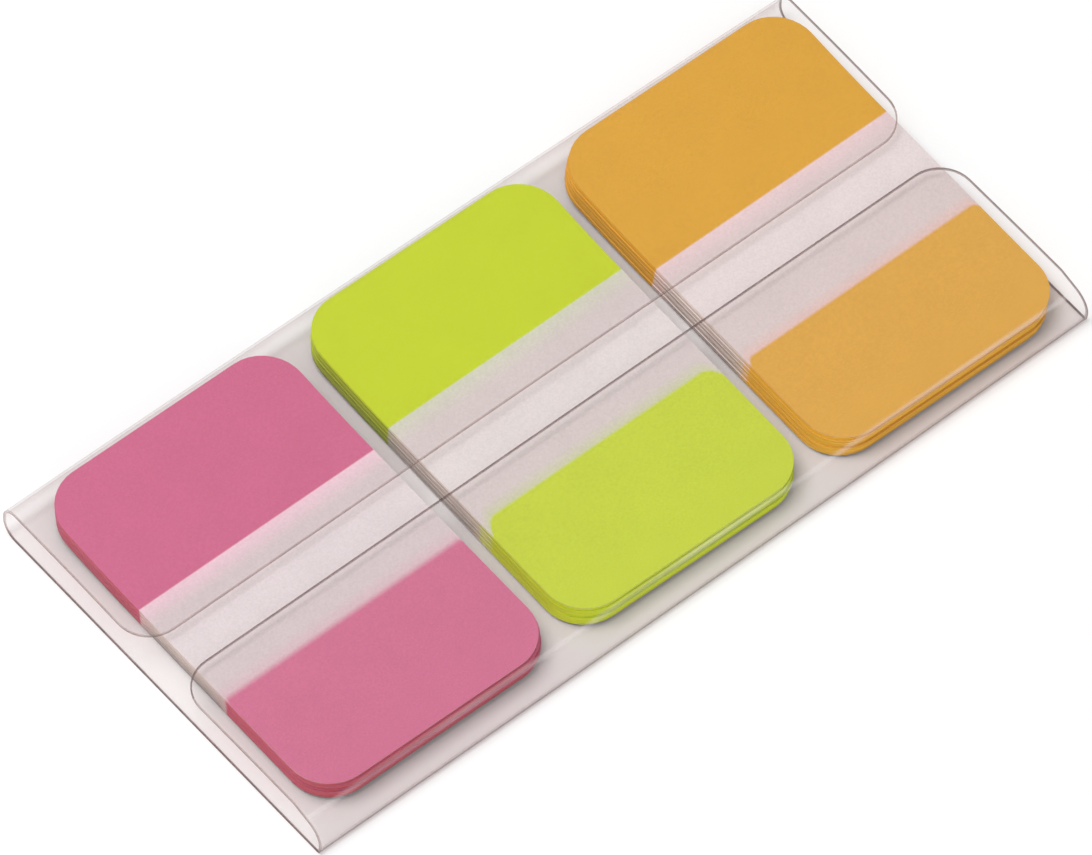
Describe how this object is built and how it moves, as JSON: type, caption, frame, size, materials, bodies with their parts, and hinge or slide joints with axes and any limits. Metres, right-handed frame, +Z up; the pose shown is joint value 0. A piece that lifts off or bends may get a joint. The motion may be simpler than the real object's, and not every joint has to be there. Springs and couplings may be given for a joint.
{
  "type": "sticky index tabs",
  "caption": "Clear plastic sleeve, folded from one sheet, that holds pads of part-coloured film index tabs side by side and lets them out through a slot between its flaps.",
  "frame": {"origin": "middle of the footprint, on the surface that the sleeve lies on", "axes": "+X along the sleeve from the pink pad to the orange pad, +Y from the creased edge to the looped edge, +Z up through the flaps"},
  "size_m": [0.084, 0.0418, 0.0036],
  "materials": {
    "clear_sheet": "clear folded plastic sheet, glossy, with darker cut edges",
    "pink_film": "satin film, coloured at one end and frosted clear at the other",
    "lime_film": "satin film, coloured at one end and frosted clear at the other",
    "orange_film": "satin film, coloured at one end and frosted clear at the other"
  },
  "bodies": {
    "root": {"sleeve": "clear_sheet", "pink_tab_stack": "pink_film", "pink_top_tab": "pink_film", "lime_tab_stack": "lime_film", "lime_top_tab": "lime_film", "orange_tab_stack": "orange_film", "orange_top_tab": "orange_film"}
  },
  "joints": []
}
